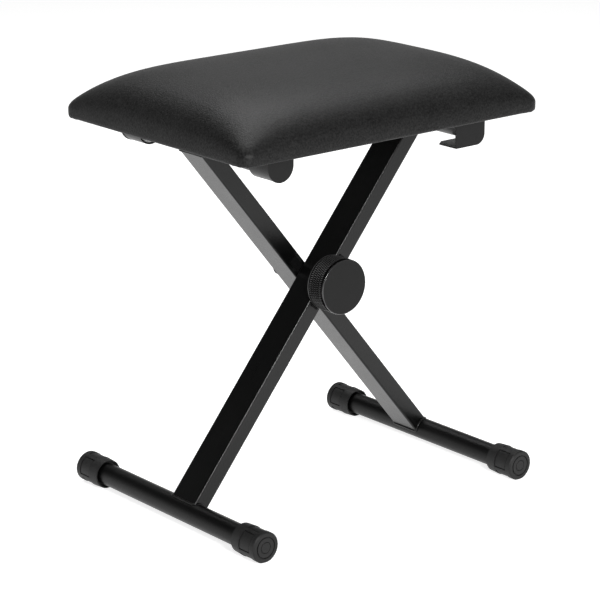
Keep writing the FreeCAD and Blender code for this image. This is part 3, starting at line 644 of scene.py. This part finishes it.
# The hem ends at the dust cloth, in a round-cornered opening, and is pleated at the pad's corners.
hem = bmesh.new()
hem.from_mesh(cushion.data)
opening = []
for face in hem.faces:
    middle = face.calc_center_median()
    over_x, over_y = past_cloth(middle)
    beyond = math.hypot(max(over_x + HEM_CORNER_RADIUS, 0), max(over_y + HEM_CORNER_RADIUS, 0))
    if middle.z < pad_bottom + LEVEL_WITHIN and beyond < HEM_CORNER_RADIUS:
        opening.append(face)
bmesh.ops.delete(hem, geom=opening, context="FACES")
for v in hem.verts:
    over_x, over_y = past_cloth(v.co)
    if v.co.z < pad_bottom + EDGE_RADIUS and over_x > 0 and over_y > 0:
        turn = math.atan2(over_y, over_x) / (math.pi / 2)
        reach = min(math.hypot(over_x, over_y) / HEM_WIDTH, 1.0)
        v.co.z -= PLEAT_DEPTH * reach * math.sin(math.pi * PLEATS * turn) ** 2
hem.to_mesh(cushion.data)
hem.free()
cushion.data.shade_smooth()
smoother = cushion.modifiers.new("smooth", "SUBSURF")
smoother.levels = smoother.render_levels = 1
shell = cushion.modifiers.new("thickness", "SOLIDIFY")
shell.thickness = COVER_THICKNESS
shell.offset = -1.0

leatherette = Finish("leatherette")
pebbles = leatherette.cells(1.6 * MM, "SMOOTH_F1", Smoothness=0.4)
creases = leatherette.noise(3.5 * MM, detail=5.0, roughness=0.65)
shade = leatherette.noise(50 * MM, detail=3.0)
tips = leatherette.noise(2.1 * MM, detail=3.0, roughness=0.7)
mottle = leatherette.node("MapRange", {}, {
    "Value": 0.85 * tips + 0.15 * shade, "From Min": 0.38, "From Max": 0.62})
leatherette.surface(
    Base_Color=leatherette.blend(mottle, grey(0.001), grey(0.013)),
    Specular_IOR_Level=0.17,
    Roughness=0.46 + 0.1 * creases,
    Normal=leatherette.relief(0.6 * pebbles + 0.5 * creases + 0.5 * tips, 0.3 * MM))
cushion.data.materials.append(leatherette.material)
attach(cushion, "seat")
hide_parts("seat_cover")


# ---- Foam ----
# A block of open-cell polyurethane foam, cut to the pad's form and glued to the board's top. The cover
# hides all of it.

FOAM_TO_COVER = 0.3 * MM
FOAM_TO_BOARD = 0.1 * MM

foam = bmesh.new()
foam.from_mesh(pad_form)
bpy.data.meshes.remove(pad_form)
for v in foam.verts:
    v.co -= v.normal * (COVER_THICKNESS + FOAM_TO_COVER)
cut = bmesh.ops.bisect_plane(foam, geom=foam.verts[:] + foam.edges[:] + foam.faces[:],
                             plane_co=(0, 0, board_top + FOAM_TO_BOARD), plane_no=(0, 0, 1),
                             clear_inner=True)
bmesh.ops.holes_fill(foam, edges=[e for e in cut["geom_cut"] if isinstance(e, bmesh.types.BMEdge)])
foam_block = new_object("cushion_foam", foam)
foam_block.data.shade_smooth()

polyurethane = Finish("polyurethane_foam")
open_cells = polyurethane.cells(1.2 * MM)
yellowing = polyurethane.noise(60 * MM, detail=3.0)
polyurethane.surface(
    Base_Color=polyurethane.blend(yellowing, (0.78, 0.72, 0.5, 1.0), (0.84, 0.8, 0.64, 1.0)),
    Roughness=0.85 + 0.1 * open_cells,
    Normal=polyurethane.relief(open_cells, 0.5 * MM))
foam_block.data.materials.append(polyurethane.material)
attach(foam_block, "seat")
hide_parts("seat_foam")


# ---- Studio ----
# A seamless white floor under one large softbox, a small lamp to the right of the camera for the edges,
# a room that is pale low down and dark overhead, and a long lens that looks a little down at the seat.

FLOOR_REACH = 30.0
lamps_aim = Vector((0.0, 0.0, 0.4))
white_floor = Finish("white_floor")
white_floor.surface(Base_Color=grey(0.6), Roughness=1.0, Specular_IOR_Level=0.0,
                    Emission_Color=grey(1.0), Emission_Strength=0.8)
slab = bmesh.new()
bmesh.ops.create_grid(slab, x_segments=1, y_segments=1, size=FLOOR_REACH)
floor = new_object("floor", slab)
floor.data.materials.append(white_floor.material)
floor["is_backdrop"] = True

for name, size, power, place in (("softbox", 1.8, 60.0, (0.45, 0.6, 2.4)),
                                 ("edge_lamp", 0.5, 44.0, (-0.76, -1.87, 1.14))):
    lamp = bpy.data.lights.new(name, "AREA")
    lamp.shape = "SQUARE"
    lamp.size = size
    lamp.energy = power
    stand = add_object(name, lamp)
    stand.location = place
    stand.rotation_euler = (lamps_aim - stand.location).to_track_quat("-Z", "Y").to_euler()

room = bpy.data.worlds.new("studio")
bpy.context.scene.world = room
room.use_nodes = True
sky = room.node_tree
direction = sky.nodes.new("ShaderNodeTexCoord")
split = sky.nodes.new("ShaderNodeSeparateXYZ")
ramp = sky.nodes.new("ShaderNodeValToRGB")
sky.links.new(direction.outputs["Generated"], split.inputs["Vector"])
sky.links.new(split.outputs["Z"], ramp.inputs["Fac"])
sky.links.new(ramp.outputs["Color"], sky.nodes["Background"].inputs["Color"])
stops = ramp.color_ramp.elements
stops[0].position, stops[0].color = 0.06, grey(0.9)
stops[1].position, stops[1].color = 0.45, grey(0.03)
stops.new(0.25).color = grey(0.47)

CAMERA_YAW = 40.124
CAMERA_PITCH = 17.021
CAMERA_DISTANCE = 2.7615
LENS_LENGTH = 147.95
SENSOR_WIDTH = 36.0
camera_target = Vector((-0.0091, -0.0033, 0.2172))
lens = bpy.data.cameras.new("camera")
lens.lens = LENS_LENGTH
lens.sensor_width = SENSOR_WIDTH
camera = add_object("camera", lens)
camera.rotation_euler = (math.radians(90 - CAMERA_PITCH), 0, math.radians(-CAMERA_YAW))
backwards = camera.rotation_euler.to_matrix() @ Vector((0, 0, 1))
camera.location = camera_target + CAMERA_DISTANCE * backwards
bpy.context.scene.camera = camera
bpy.context.scene.view_settings.view_transform = "Standard"


# ---- Sizes ----
# The box round the finished model, without the floor, is measured.

low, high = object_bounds()
